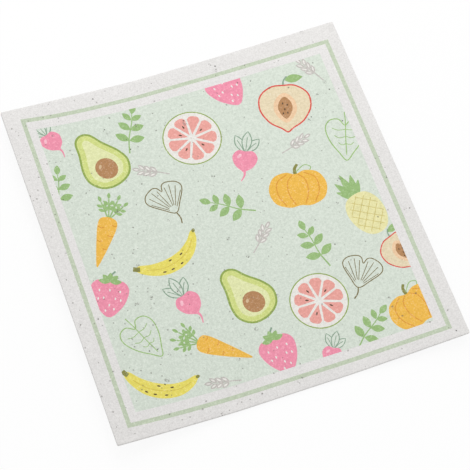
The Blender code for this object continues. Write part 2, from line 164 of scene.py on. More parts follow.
def pore_rings(pores):
    """Points that carry the pores' shape: a ring on the level sheet close round each pore, one on
    its rim, one in its bowl, and its middle. A ring is a share of the rim's reach and a count."""
    points = [pores[:, :2]]
    for share, count in PORE_RINGS:
        angle = np.arange(count) * 2 * np.pi / count
        reach = rim_reach(pores, angle) * share
        ring = np.stack([reach * np.cos(angle), reach * np.sin(angle)], axis=-1)
        points.append((pores[:, None, :2] + ring).reshape(-1, 2))
    return np.concatenate(points)


def pitted(x, y, pores):
    """Depth below the surface: in each pore a bowl, one less the squared distance from its middle
    in rim reaches, all to a power, times the pore's depth. Where pores meet, the deeper."""
    depth = np.zeros_like(x)
    for pore in pores:
        widest = (1 + PORE_RIM_WAVE) * pore[2]
        near = (np.abs(x - pore[0]) < widest) & (np.abs(y - pore[1]) < widest)
        away_x, away_y = x[near] - pore[0], y[near] - pore[1]
        reach = rim_reach(pore[None], np.arctan2(away_y, away_x))[0]
        bowl = np.maximum(1 - (away_x**2 + away_y**2) / reach**2, 0) ** BOWL_POWER
        depth[near] = np.maximum(depth[near], bowl * pore[2] * PORE_DEPTH_SHARE)
    return depth


def relief(x, y, random):
    """The face's slight waviness: a sum of sines in random directions, from zero up to RELIEF."""
    total = np.zeros_like(x)
    for _ in range(RELIEF_WAVES):
        heading, phase = random.uniform(0, 2 * np.pi, 2)
        pitch = random.uniform(*RELIEF_PITCHES)
        total += np.sin((x * np.cos(heading) + y * np.sin(heading)) * 2 * np.pi / pitch + phase)
    return RELIEF * (0.5 + 0.5 * total / RELIEF_WAVES)


# The print. A mint field lies inside a thin green frame line, and both are turned a little
# against the cut edge, as a web that runs slightly askew through its press leaves them, and drawn
# along at the left side, most at the far corner. The motifs are flat inks, drawn in millimetres,
# each round its own middle, and cut off at the field.
PRINT_TURN = -0.36
LEFT_SIDE_PULL = 3.4
PULL_FROM_LEFT = 50
PULL_FROM_FAR = 60
PULL_LEAST = 0.35
LINE_WIDTH = 2.4
LINE_INSETS = dict(left=9.8, right=8.6, near=7.4, far=10.9)
FIELD_INSETS = dict(left=15.3, right=15.1, near=13.7, far=17.1)

INKS = {
    "frame line": (198, 210, 186),
    "field": (217, 226, 214),
    "white": (236, 234, 228),
    "lemon": (236, 223, 106),
    "lemon shade": (222, 203, 92),
    "straw": (234, 229, 172),
    "straw hatch": (212, 200, 130),
    "lime": (212, 222, 138),
    "pale lime": (229, 233, 178),
    "rind": (150, 172, 88),
    "orange": (242, 190, 82),
    "orange shade": (226, 160, 66),
    "coral": (237, 167, 158),
    "red": (222, 92, 82),
    "cream": (232, 217, 184),
    "blush": (240, 204, 166),
    "pink": (243, 151, 175),
    "pink shine": (250, 192, 206),
    "stone": (184, 138, 96),
    "stone shine": (216, 188, 150),
    "seed": (92, 74, 56),
    "olive": (140, 140, 76),
    "sprig": (156, 190, 126),
    "leaf line": (160, 194, 124),
    "brown line": (126, 114, 74),
    "stem": (140, 166, 144),
    "ear": (198, 193, 188),
}


def turned(points, degrees):
    """Points turned counter-clockwise about the origin."""
    cosine, sine = math.cos(math.radians(degrees)), math.sin(math.radians(degrees))
    return np.asarray(points, float) @ np.array([[cosine, sine], [-sine, cosine]])


def at_angle(reach, degrees):
    """The point at a distance from the origin, at an angle clockwise from straight up."""
    return turned([[0, reach]], -degrees)[0]


def oval(x, y, wide, high, turn=0, steps=28):
    """An ellipse: its half-widths times the cosine and sine of the angle, turned and moved."""
    angle = np.arange(steps) * 2 * np.pi / steps
    ring = np.stack([wide / 2 * np.cos(angle), high / 2 * np.sin(angle)], axis=1)
    return turned(ring, turn) + (x, y)


def smooth(points, closed=True, steps=5):
    """A Catmull-Rom curve: between two points, the cubic whose slope at each is half the step
    between its neighbours."""
    points = np.asarray(points, float)
    if closed:
        before, here, after, later = (np.roll(points, shift, axis=0) for shift in (1, 0, -1, -2))
    else:
        ends = np.vstack([2 * points[0] - points[1], points, 2 * points[-1] - points[-2]])
        before, here, after, later = ends[:-3], ends[1:-2], ends[2:-1], ends[3:]
    t = (np.arange(steps) / steps)[:, None, None]
    curve = here + (after - before) * t / 2
    curve = curve + (2 * before - 5 * here + 4 * after - later) * t**2 / 2
    curve = curve + (3 * here - before - 3 * after + later) * t**3 / 2
    curve = curve.transpose(1, 0, 2).reshape(-1, 2)
    return curve if closed else np.vstack([curve, points[-1]])


def mirrored(half):
    """A closed outline from its right half: the half, then its mirror image in reverse, leaving
    out the image of any point on the middle line."""
    half = np.asarray(half, float)
    image = half[::-1] * (-1, 1)
    return np.vstack([half, image[np.abs(image[:, 0]) > 1e-6]])


def stroke(points, width, taper=1.0, steps=4):
    """A pen line: the curve through the points, set out to each side by half the width."""
    middle = smooth(points, closed=False, steps=steps)
    along = np.gradient(middle, axis=0)
    along /= np.linalg.norm(along, axis=1, keepdims=True)
    side = np.stack([-along[:, 1], along[:, 0]], axis=1)
    side *= width / 2 * np.linspace(1, taper, len(middle))[:, None]
    return np.vstack([middle + side, (middle - side)[::-1]])


def doubled_area(loop):
    """Twice a loop's area, positive where it runs counter-clockwise."""
    after = np.roll(loop, -1, axis=0)
    return np.sum(loop[:, 0] * after[:, 1] - loop[:, 1] * after[:, 0])


def grown(loop, by):
    """A loop with each point moved outward, square to the line between its neighbours."""
    along = np.roll(loop, -1, axis=0) - np.roll(loop, 1, axis=0)
    along /= np.linalg.norm(along, axis=1, keepdims=True)
    outward = np.stack([along[:, 1], -along[:, 0]], axis=1) * np.sign(doubled_area(loop))
    return loop + outward * by


def leaf(foot, tip, width, widest=0.5, steps=8):
    """A pointed leaf: its half-width is a sine of the share of the way from foot to tip, made a
    little fuller, with that share bent so that the peak comes where the leaf is widest."""
    foot, tip = np.asarray(foot, float), np.asarray(tip, float)
    share = np.linspace(0, 1, steps + 1)
    half = width / 2 * np.sin(np.pi * share ** (math.log(0.5) / math.log(widest))) ** 0.85
    along = tip - foot
    side = np.array([-along[1], along[0]]) / np.linalg.norm(along)
    middle = foot + share[:, None] * along
    return np.vstack([middle + side * half[:, None], (middle - side * half[:, None])[-2:0:-1]])


def seeds(places, wide=2.0, high=0.85, ink="seed"):
    """Small marks, each given as its place and turn."""
    return [(ink, oval(x, y, wide, high, turn, 8)) for x, y, turn in places]


def grapefruit(segments=9):
    """A slice across: nine wedges with their outer corners drawn in, on white pith."""
    art = [("rind", oval(0, 0, 31.0, 31.0, 0, 40)), ("white", oval(0, 0, 29.8, 29.8, 0, 40))]
    spread = np.linspace(-1, 1, 7) * math.pi / segments
    for number in range(segments):
        middle = 2 * math.pi * (number + 0.5) / segments
        reach = 12.9 * (1 - 0.13 * (spread / spread[-1]) ** 4)
        angle = middle + spread * 0.86
        rim = np.stack([reach * np.cos(angle), reach * np.sin(angle)], axis=1)
        point = 2.1 * np.array([math.cos(middle), math.sin(middle)])
        art.append(("coral", np.vstack([point, rim])))
    for number, reach in ((0, 6.6), (2, 7.7), (3, 6.3), (5, 7.3), (7, 6.7)):
        turn = 360 * (number + 0.5) / segments
        x, y = turned([[reach, 0]], turn)[0]
        art += seeds([(x, y, turn)])
    return art


def banana():
    """A long curved fruit with dark ends, a ridge along it and a few flecks."""
    outer = [(-19, 6), (-15, 0.2), (-8, -4.8), (1, -6.8), (10, -5.2), (16.6, -0.6), (19.4, 4.4)]
    inner = [(17.8, 5.6), (12.4, 2.8), (5, 1.2), (-3, 2.0), (-10.4, 4.6), (-16.6, 8.2)]
    art = [("lemon", smooth(outer + inner))]
    art.append(("olive", stroke([(-19.6, 8.6), (-18.2, 7.2), (-16.9, 6.2)], 2.6)))
    art.append(("olive", oval(19.3, 4.9, 2.4, 1.8, 40, 10)))
    ridge = [(-14.5, 3.6), (-7, -1.0), (2, -2.6), (10, -1.4), (15.4, 1.8)]
    art.append(("lemon shade", stroke(ridge, 0.55)))
    flecks = [(-8, -2.9, -25), (-3.6, -4.4, -10), (2.2, -4.9, 4), (-1.4, 0.2, -8), (5.4, -0.7, 8)]
    return art + seeds(flecks)


def pineapple():
    """A fruit crossed by slanting lines both ways, cut off at an ellipse inside it, under a crown
    of five leaves."""
    art = []
    crown = [(42, 11, 3.6), (-42, 11, 3.6), (22, 14, 4.2), (-22, 14, 4.2), (0, 16, 4.4)]
    for lean, high, wide in crown:
        art.append(("sprig", leaf((0, 8.6), at_angle(high, lean) + (0, 9.4), wide, 0.4)))
    body = mirrored([(0, 11.2), (6.4, 9.4), (9.8, 2.8), (9.4, -6.0), (5.6, -13.0), (0, -15.0)])
    art.append(("straw", smooth(body)))
    for number in range(-2, 3):
        for lean in (-1, 1):
            share = np.linspace(-1, 1, 60)[:, None]
            line = np.array([number * 5.6, -1.9]) + share * (lean * 13.0, 13.0)
            kept = line[(line[:, 0] / 8.9) ** 2 + ((line[:, 1] + 1.9) / 12.0) ** 2 < 1]
            art.append(("straw hatch", stroke([kept[0], kept.mean(axis=0), kept[-1]], 0.45, steps=1)))
    return art


def avocado():
    """Half a fruit: its skin, two bands of flesh that follow it, and the stone with a shine."""
    half = [(0, 17), (4.8, 14.6), (7.6, 7.6), (11.8, -1.2), (12.6, -8.6), (8.2, -15.2), (0, -17.4)]
    skin = smooth(mirrored(half))
    art = [("rind", skin), ("lime", grown(skin, -1.1)), ("pale lime", grown(skin, -3.9))]
    art += [("stone", oval(0, -6.2, 11.6, 12.2)), ("stone shine", oval(-2.2, -3.6, 2.6, 1.5, 40, 10))]
    return art


def peach():
    """Half a fruit with a red skin line, a blush round its dimpled stone, a stalk and a leaf."""
    art = [("stem", stroke([(0, 12.4), (0.8, 15.6), (2.8, 18.0)], 0.9))]
    art.append(("sprig", leaf((1.4, 15.8), (11.4, 17.2), 5.0, 0.45)))
    half = [(0, 13.0), (7.0, 12.4), (13.4, 7.0), (14.2, -1.6), (9.6, -9.6), (3.4, -13.8), (0, -16.2)]
    skin = smooth(mirrored(half))
    art += [("red", skin), ("cream", grown(skin, -0.85))]
    art.append(("blush", smooth(mirrored([(0, 8.0), (5.4, 3.4), (5.8, -4.0), (0, -10.2)]))))
    art.append(("stone", smooth(mirrored([(0, 5.6), (3.4, 2.0), (3.6, -3.0), (0, -7.8)]))))
    dimples = [(-1.2, 1.6, 80), (1.2, 0.6, 95), (-0.4, -2.0, 85), (1.0, -4.2, 95), (-1.4, -4.4, 80)]
    return art + seeds(dimples, 1.3)


def pumpkin():
    """A ribbed fruit: two curved ribs on each side of its middle, a stalk and a tendril."""
    art = [("olive", stroke([(0, 8.0), (0.2, 11.4), (2.0, 13.8)], 2.0, 0.7))]
    art.append(("leaf line", stroke([(0.6, 9.4), (5.4, 12.8), (8.8, 11.4), (8.0, 9.2)], 0.5)))
    half = [(0, 8.2), (5.4, 9.8), (12.2, 7.6), (15.6, 0.4), (13.2, -7.4), (6.0, -10.8), (0, -10.2)]
    art.append(("orange", smooth(mirrored(half))))
    for side in (-1, 1):
        inner = [(side * 1.4, 8.0), (side * 4.8, 4.2), (side * 5.2, -3.0), (side * 2.6, -9.6)]
        outer = [(side * 4.6, 8.6), (side * 10.4, 4.6), (side * 11.0, -2.8), (side * 7.6, -9.6)]
        art += [("orange shade", stroke(inner, 0.6)), ("orange shade", stroke(outer, 0.6))]
    return art


def carrot():
    """A tapered root with short rings, under four fronds of small leaves."""
    art = []
    top = np.array([0, 10.6])
    for lean in (-34, -12, 10, 32):
        frond = at_angle(13 - abs(lean) * 0.06, lean)
        art.append(("sprig", stroke([top - (0, 0.4), top + frond * 0.5, top + frond], 0.8)))
        for share, side in ((0.45, 1), (0.45, -1), (0.7, 1), (0.7, -1), (1.0, 0)):
            foot = top + frond * share
            art.append(("sprig", leaf(foot, foot + at_angle(4.0, lean + side * 48), 1.9, 0.55, 6)))
    half = [(0, 12.0), (4.2, 10.6), (5.2, 6.4), (4.0, -2.0), (2.0, -12.0), (0, -19.0)]
    art.append(("orange", smooth(mirrored(half))))
    rings = [(-4.9, -1.4, 5.2), (1.2, 4.4, 1.2), (-3.6, -0.8, -3.0), (0.6, 2.6, -7.2), (2.2, 4.9, 7.8)]
    for start, end, y in rings:
        art.append(("orange shade", stroke([(start, y), ((start + end) / 2, y - 0.5), (end, y)], 0.6)))
    return art


def strawberry():
    """A berry with pale seeds in rows, under five sepals and a stalk."""
    art = [("stem", stroke([(0, 7.0), (0.4, 10.4), (2.2, 12.6)], 0.8))]
    half = [(0, 7.0), (5.6, 7.8), (8.6, 3.8), (7.0, -3.0), (3.0, -8.6), (0, -10.4)]
    art.append(("pink", smooth(mirrored(half))))
    upper = [(-4.6, 2.6), (0, 3.0), (4.6, 2.6), (-2.6, -1.0), (2.6, -1.0)]
    lower = [(0, -4.4), (-5.0, -1.6), (5.0, -1.6), (-1.6, -7.2), (2.1, -6.2)]
    art += seeds([(x, y, 90) for x, y in upper + lower], 1.35, 0.75, "white")
    for lean in (-78, -40, 0, 40, 78):
        art.append(("sprig", leaf((0, 7.0), at_angle(5.4, lean) + (0, 6.4), 2.6, 0.5, 6)))
    return art


def radish():
    """A plump radish with a thin bent root, under three open leaves."""
    art = []
    for tip, width in (((-5.8, 12.6), 4.6), ((6.2, 11.8), 4.6), ((0.4, 15.4), 5.0)):
        blade = leaf((0, 3.2), tip, width, 0.55)
        art += [("stem", grown(blade, 0.15)), ("field", grown(blade, -0.4))]
        midrib = [(0, 3.2), (tip[0] * 0.45, 7.4), (tip[0] * 0.8, tip[1] * 0.8)]
        art.append(("stem", stroke(midrib, 0.4, steps=2)))
    art.append(("pink", stroke([(0, -5.4), (0.5, -8.6), (-0.9, -12.0)], 1.5, 0.3)))
    half = [(0, 4.4), (3.8, 4.6), (6.2, 1.0), (4.6, -3.6), (1.4, -6.2), (0, -7.0)]
    art.append(("pink", smooth(mirrored(half))))
    return art + [("pink shine", oval(-2.8, 1.6, 3.0, 1.6, 52, 10))]


def fan_leaf():
    """A fan-shaped leaf in pen line, notched at the top, with its ribs fanning from the stalk."""
    half = [(0, 7.0), (1.7, 10.2), (4.8, 11.0), (10.2, 8.4), (11.4, 3.6), (5.6, -3.4), (0, -8.4)]
    edge = smooth(mirrored(half))
    art = [("brown line", grown(edge, 0.3)), ("field", grown(edge, -0.3))]
    art.append(("brown line", stroke([(0, -8.2), (0.4, -12.0), (-0.8, -15.6)], 0.75)))
    for lean, reach in ((46, 13.6), (33, 16.0), (20, 16.8), (9, 15.6)):
        for side in (-1, 1):
            foot = at_angle(reach * 0.25, side * lean) - (0, 7.6)
            tip = at_angle(reach, side * lean) - (0, 7.0)
            art.append(("brown line", stroke([foot, (foot + tip) / 2, tip], 0.42, steps=1)))
    return art


def heart_leaf():
    """A heart-shaped leaf in green line, with a stalk, a midrib and three pairs of veins."""
    half = [(0, 7.2), (3.6, 11.0), (8.8, 10.2), (11.0, 5.0), (8.6, -2.8), (4.0, -9.6), (0, -14.4)]
    edge = smooth(mirrored(half))
    art = [("leaf line", grown(edge, 0.32)), ("field", grown(edge, -0.32))]
    art.append(("leaf line", stroke([(0, 15.4), (0.3, 9.0), (0, 0), (0, -11.0)], 0.55)))
    for y, reach, drop in ((4.6, 7.4, 3.4), (0.2, 6.2, 4.6), (-4.2, 4.2, 4.4)):
        for side in (-1, 1):
            bend = (side * reach * 0.55, y - drop * 0.35 + 0.8)
            tip = (side * reach, y - drop * 0.2 + 1.6)
            art.append(("leaf line", stroke([(0, y), bend, tip], 0.42)))
    return art


def mint_sprig():
    """A stalk with three pairs of leaves, which get smaller upwards, and one at its tip."""
    art = [("sprig", stroke([(0.6, -15.5), (-0.4, -6), (0.4, 4), (0, 11)], 0.85, 0.6))]
    for y, size, lift in ((-7.4, 8.8, 70), (-0.6, 8.2, 62), (5.6, 6.6, 54)):
        for side in (-1, 1):
            art.append(("sprig", leaf((0, y), at_angle(size, side * lift) + (0, y), size * 0.52)))
    art.append(("sprig", leaf((0, 9.6), (0.4, 16.4), 3.8)))
    return art


def wheat_ear():
    """An ear of seven grains, three to each side and one on top, each with a pale middle."""
    art = [("ear", stroke([(0, -10), (0.3, -4), (0, 3)], 0.65))]
    for y in (-3.4, -0.2, 3.0):
        for side in (-1, 1):
            art.append(("ear", leaf((side * 0.2, y), (side * 3.0, y + 4.4), 2.4, 0.5, 6)))
            art.append(("white", leaf((side * 0.8, y + 1.0), (side * 2.4, y + 3.6), 1.0, 0.5, 4)))
    art.append(("ear", leaf((0, 5.4), (0, 10.4), 2.3, 0.5, 6)))
    art.append(("white", leaf((0, 6.6), (0, 9.4), 0.9, 0.5, 4)))
    return art


# Where the motifs go: each with its place, as shares of the field's half-width and half-length
# from its middle, its turn and its size.
PRINTED = [
    (radish, -0.93, 0.90, 24, 1.0),
    (avocado, -0.67, 0.70, 20, 1.08),
    (mint_sprig, -0.40, 0.86, -22, 1.0),
    (grapefruit, -0.03, 0.68, 8, 1.08),
    (strawberry, 0.31, 0.96, 18, 1.25),
    (peach, 0.64, 0.71, -14, 1.05),
    (wheat_ear, 0.89, 0.91, 30, 1.05),
    (mint_sprig, -0.99, 0.56, -12, 0.9),
    (wheat_ear, -0.37, 0.53, 66, 1.05),
    (carrot, -0.81, 0.17, -30, 1.02),
    (fan_leaf, -0.33, 0.30, 14, 0.98),
    (radish, 0.25, 0.43, -24, 1.15),
    (heart_leaf, 0.94, 0.37, -18, 1.02),
    (wheat_ear, 0.61, 0.43, -72, 1.0),
    (banana, -0.44, -0.09, 24, 1.06),
    (mint_sprig, 0.03, 0.15, 60, 1.0),
    (pumpkin, 0.51, 0.13, -10, 1.05),
    (strawberry, -0.91, -0.23, -20, 1.2),
    (wheat_ear, 0.16, -0.12, -44, 1.05),
    (pineapple, 0.87, -0.16, 14, 1.02),
    (heart_leaf, -0.79, -0.55, 26, 0.95),
    (avocado, -0.07, -0.45, 24, 1.04),
    (radish, -0.44, -0.40, 20, 1.15),
    (mint_sprig, 0.47, -0.27, 12, 1.0),
    (grapefruit, 0.36, -0.64, 20, 1.05),
    (fan_leaf, 0.68, -0.56, -32, 0.95),
    (peach, 0.99, -0.49, 20, 0.8),
    (carrot, -0.36, -0.74, 56, 1.0),
    (banana, -0.79, -0.88, -14, 1.02),
    (strawberry, 0.00, -0.89, 8, 1.2),
    (wheat_ear, -0.41, -0.96, 80, 1.0),
    (pumpkin, 0.93, -0.87, 16, 1.0),
    (mint_sprig, 0.61, -0.91, -52, 0.95),
    (radish, 0.31, -1.00, -30, 0.9),
]


def print_corners(insets, grow=0.0):
    """Low and high corner of a printed rectangle, in millimetres, from its distances to the cut
    edges, grown by a margin."""
    low = np.array([-WIDTH / MM / 2 + insets["left"], -LENGTH / MM / 2 + insets["near"]]) - grow
    high = np.array([WIDTH / MM / 2 - insets["right"], LENGTH / MM / 2 - insets["far"]]) + grow
    return low, high


def cut_off(loop, low, high):
    """What is left of a loop inside a rectangle: past each side in turn, its points are dropped
    and a point goes in wherever it crosses that side."""
    for axis, limit, sign in ((0, low[0], -1), (1, low[1], -1), (0, high[0], 1), (1, high[1], 1)):
        over = (loop[:, axis] - limit) * sign
        over_after = np.roll(over, -1)
        crosses = (over > 0) != (over_after > 0)
        share = np.where(crosses, over / np.where(crosses, over - over_after, 1), 0)
        crossing = loop + share[:, None] * (np.roll(loop, -1, axis=0) - loop)
        points = np.stack([loop, crossing], axis=1).reshape(-1, 2)
        loop = points[np.stack([over <= 0, crosses], axis=1).ravel()]
    return loop


def drawn_along(points):
    """Points of the print moved toward the far side: by the pull, times the squared share of the
    way to the left cut edge, times the share of the way to the far one, or else its least."""
    leftward = np.clip(1 - (WIDTH / MM / 2 + points[:, 0]) / PULL_FROM_LEFT, 0, 1)
    farther = np.clip(1 - (LENGTH / MM / 2 - points[:, 1]) / PULL_FROM_FAR, PULL_LEAST, 1)
    return points + np.outer(LEFT_SIDE_PULL * leftward**2 * farther, (0, 1))


# The flat faces are triangulated round everything drawn on them, so each ink keeps a clean edge.
# Along the outlines and between them, the points are about a pitch apart.
GRID_PITCH = 2.4 * MM
GRID_CLEAR = 0.75
SAME_POINT = 1e-8


def divided(loop):
    """A loop in millimetres with each side split evenly, so that no piece is longer than the
    grid's pitch and the side can bend: each piece starts its share of the way along its side."""
    after = np.roll(loop, -1, axis=0)
    pieces = np.ceil(np.linalg.norm(after - loop, axis=1) / (GRID_PITCH / MM)).astype(int)
    side = np.repeat(np.arange(len(loop)), pieces)
    share = (np.arange(len(side)) - np.repeat(np.cumsum(pieces) - pieces, pieces)) / pieces[side]
    return loop[side] + share[:, None] * (after - loop)[side]


def whole_print():
    """Every printed area as an ink and an outline, from the lowest to the topmost."""
    field = print_corners(FIELD_INSETS)
    areas = []
    for ink, (low, high) in (
        ("frame line", print_corners(LINE_INSETS, LINE_WIDTH / 2)),
        ("bare", print_corners(LINE_INSETS, -LINE_WIDTH / 2)),
        ("field", field),
    ):
        areas.append((ink, np.array([low, (high[0], low[1]), high, (low[0], high[1])])))
    middle, half_size = (field[0] + field[1]) / 2, (field[1] - field[0]) / 2
    for motif, share_x, share_y, turn, size in PRINTED:
        place = middle + half_size * (share_x, share_y)
        for ink, outline in motif():
            areas.append((ink, cut_off(turned(outline, turn) * size + place, *field)))
    areas = [(ink, drawn_along(divided(outline))) for ink, outline in areas if len(outline) > 2]
    return [(ink, turned(outline, PRINT_TURN)) for ink, outline in areas]


def face_grid():
    """Points spread evenly over the inside of the sheet, a share of a pitch clear of its outline."""
    clear = GRID_CLEAR * GRID_PITCH
    half_x, half_y = WIDTH / 2 - clear, LENGTH / 2 - clear
    across = np.linspace(-half_x, half_x, round(2 * half_x / GRID_PITCH))
    along = np.linspace(-half_y, half_y, round(2 * half_y / GRID_PITCH))
    return np.stack(np.meshgrid(across, along), axis=-1).reshape(-1, 2)


def covered(outline, x, y):
    """Which points lie inside an outline: those from which it is crossed an odd number of times
    on the way to the left."""
    low, high = outline.min(axis=0), outline.max(axis=0)
    inside = (x > low[0]) & (x < high[0]) & (y > low[1]) & (y < high[1])
    here, after = outline, np.roll(outline, -1, axis=0)
    rise = np.where(after[:, 1] == here[:, 1], 1, after[:, 1] - here[:, 1])
    level = y[inside, None]
    meets = (here[:, 1] > level) != (after[:, 1] > level)
    meets &= x[inside, None] > here[:, 0] + (level - here[:, 1]) * (after[:, 0] - here[:, 0]) / rise
    inside[inside] = meets.sum(axis=1) % 2 == 1
    return inside


def flat_face(stations, areas, pores):
    """Triangles of one flat face and, for each, the number of the area that lies topmost there,
    from 1, or 0 on the bare sheet. The outline's stations come first, so they keep their numbers."""
    loops = [stations] + [outline * MM for _, outline in areas]
    starts = np.cumsum([0] + [len(loop) for loop in loops])
    here = np.arange(starts[-1])
    after = here + 1
    after[starts[1:] - 1] = starts[:-1]
    points = np.vstack(loops + [face_grid(), pore_rings(pores)])
    edges = np.stack([here, after], axis=1)
    found = delaunay_2d_cdt(points.tolist(), edges.tolist(), [], 0, SAME_POINT)
    places, triangles = np.array([tuple(point) for point in found[0]]), np.array(found[2])
    x, y = places[triangles].mean(axis=1).T / MM
    topmost = np.zeros(len(triangles), int)
    for number, (_, outline) in enumerate(areas):
        topmost[covered(outline, x, y)] = number + 1
    return places, triangles, topmost


def linear(red, green, blue):
    """A colour as the eye reads it, from 0 to 255, to the linear light that Blender works in."""
    share = np.array([red, green, blue]) / 255
    return np.where(share <= 0.04045, share / 12.92, ((share + 0.055) / 1.055) ** 2.4)


# The sheet's own map, on which its finish can be baked: the printed face takes most of it, the
# back lies below that, and the cut edge is one strip along the bottom.
MAP_MARGIN = 0.008
MAP_FACE = (0.25, 0.992)
MAP_BACK = (0.045, 0.235)
MAP_EDGE = (0.008, 0.03)


def map_place(x_share, y_share, band):
    """Places on the map: across its width inside the margins, and within a band of its height."""
    across = MAP_MARGIN + x_share * (1 - 2 * MAP_MARGIN)
    return np.stack([across, band[0] + y_share * (band[1] - band[0])], axis=-1)


def sheet_mesh():
    """The whole closed sheet: the face, the back, and the cut edge that joins their outlines."""
    random = np.random.default_rng(PORE_SEED)
    half = WIDTH / 2 - PORE_MARGIN, LENGTH / 2 - PORE_MARGIN
    face_pores = scattered_pores(random, FACE_PORES, *half, left_pull=LEFT_PULL)
    back_pores = scattered_pores(random, BACK_PORES, *half)
    stations, outward = outline_stations()
    count = len(stations)
    areas = whole_print()
    face_xy, face_triangles, topmost = flat_face(stations, areas, face_pores)
    back_xy, back_triangles, _ = flat_face(stations, [], back_pores)

    # Heights within the sheet, and how deep in a pore each point is
    x, y = face_xy.T
    face_pit = pitted(x, y, face_pores)
    waviness = relief(x, y, random)
    waviness[:count] = 0
    face = bent(x, y, THICKNESS + waviness - RELIEF - face_pit)
    back_pit = pitted(*back_xy.T, back_pores)
    back = bent(*back_xy.T, back_pit)

    # The cut edge, as a grid of stations by rows of the section, pitted inward
    walk = np.concatenate([[0], np.cumsum(np.linalg.norm(np.diff(stations, axis=0), axis=1))])
    perimeter = walk[-1] + EDGE_PITCH
    out, height = edge_profile()
    edge_pores = scattered_pores(random, EDGE_PORES, perimeter / 2, THICKNESS / 2 - ARRIS)
    edge_pores[:, 2] = EDGE_PORE_LEAST + EDGE_PORE_SPREAD * (edge_pores[:, 2] - PORE_LEAST)
    around, up = np.broadcast_arrays(walk[:, None], height[None, 1:-1])
    from_middle = (around - perimeter / 2).ravel(), (up - THICKNESS / 2).ravel()
    inward = pitted(*from_middle, edge_pores).reshape(around.shape)
    place = stations[:, None] + outward[:, None] * (out[None, 1:-1] - inward)[..., None]
    edge = bent(place[..., 0], place[..., 1], up)

    # One list of points: the face, the back, then the edge's inner rows
    points = np.vstack([face, back, edge.reshape(-1, 3)])
    inner_rows = EDGE_ROWS - 1
    number = np.arange(count)[:, None]
    inner = len(face) + len(back) + number * inner_rows + np.arange(inner_rows)
    rows = np.hstack([number, inner, number + len(face)])
    rows = np.vstack([rows, rows[:1]])
    upper, lower = rows[:-1, :-1], rows[:-1, 1:]
    upper_next, lower_next = rows[1:, :-1], rows[1:, 1:]
    edge_triangles = np.stack([upper, lower, lower_next, upper, lower_next, upper_next], axis=-1)
    back_triangles = back_triangles[:, ::-1]
    triangles = [face_triangles, back_triangles + len(face), edge_triangles.reshape(-1, 3)]
    triangles = np.vstack(triangles)

    mesh = bpy.data.meshes.new("printed_sponge_cloth")
    mesh.from_pydata(points.tolist(), [], triangles.tolist())
    mesh.shade_smooth()

    # The ink of each triangle, at its three corners, with the ink's cover as the fourth value
    cover = {"bare": (0, 0, 0, 0), **{ink: (*linear(*colour), 1) for ink, colour in INKS.items()}}
    inks = np.array([cover["bare"]] + [cover[ink] for ink, _ in areas])
    ink = np.zeros((len(triangles), 3, 4))
    ink[: len(face_triangles)] = inks[topmost][:, None]
    mesh.attributes.new("ink", "FLOAT_COLOR", "CORNER").data.foreach_set("color", ink.ravel())
    # How deep in a pore each point is, as a share of the deepest; the finish paints shade into the
    # pores by it.
    pit = np.concatenate([face_pit, back_pit, inward.ravel()]) / (PORE_MOST * PORE_DEPTH_SHARE)
    mesh.attributes.new("pit", "FLOAT", "POINT").data.foreach_set("value", pit)

    # The map
    def shares(places):
        """How far points of the flat sheet are across its width and along its length."""
        return places[:, 0] / WIDTH + 0.5, places[:, 1] / LENGTH + 0.5

    face_map = map_place(*shares(face_xy), MAP_FACE)[face_triangles]
    back_map = map_place(*shares(back_xy), MAP_BACK)[back_triangles]
    along = np.append(walk, perimeter)[:, None] / perimeter
    down = 1 - np.linspace(0, 1, EDGE_ROWS + 1)
    edge_map = map_place(*np.broadcast_arrays(along, down), MAP_EDGE)
    here, after = edge_map[:-1], edge_map[1:]
    corners = [here[:, :-1], here[:, 1:], after[:, 1:], here[:, :-1], after[:, 1:], after[:, :-1]]
    layout = np.concatenate([face_map.ravel(), back_map.ravel(), np.stack(corners, axis=2).ravel()])
    mesh.uv_layers.new(name="OFBake").data.foreach_set("uv", layout)
    return mesh


# The sponge's finish. Dry cellulose is a matt, warm white, a little uneven in tone, with grey
# smudges, fine pores and a few near-black specks, all closer together to the left. The ink has
# sunk into it, so it shows the sponge's grain and misses its highest spots. Shade is painted into
# the pores: a dark grey mixed in deep in the modelled pits, and grey dots of painted pore shade
# where the pores are too small to model.
SPONGE_LIGHT = (239, 237, 235)
SPONGE_DARK = (219, 217, 215)
# The dark grey of the shade painted into the pores and the grey dots.
PAINTED_PORE_SHADE = (120, 116, 110)
SPECK = (62, 58, 54)
INK_THICK = (0.9, 0.9, 0.9, 1)
INK_THIN = (1.06, 1.06, 1.06, 1)
RIM_WANDER = 0.5
DOT_FROM = 0.55
BARE_ROUGHNESS = 0.92
SPONGE_SHINE = 0.2
BUMP_DEPTH = 0.1 * MM
BUMP_STRENGTH = 0.5


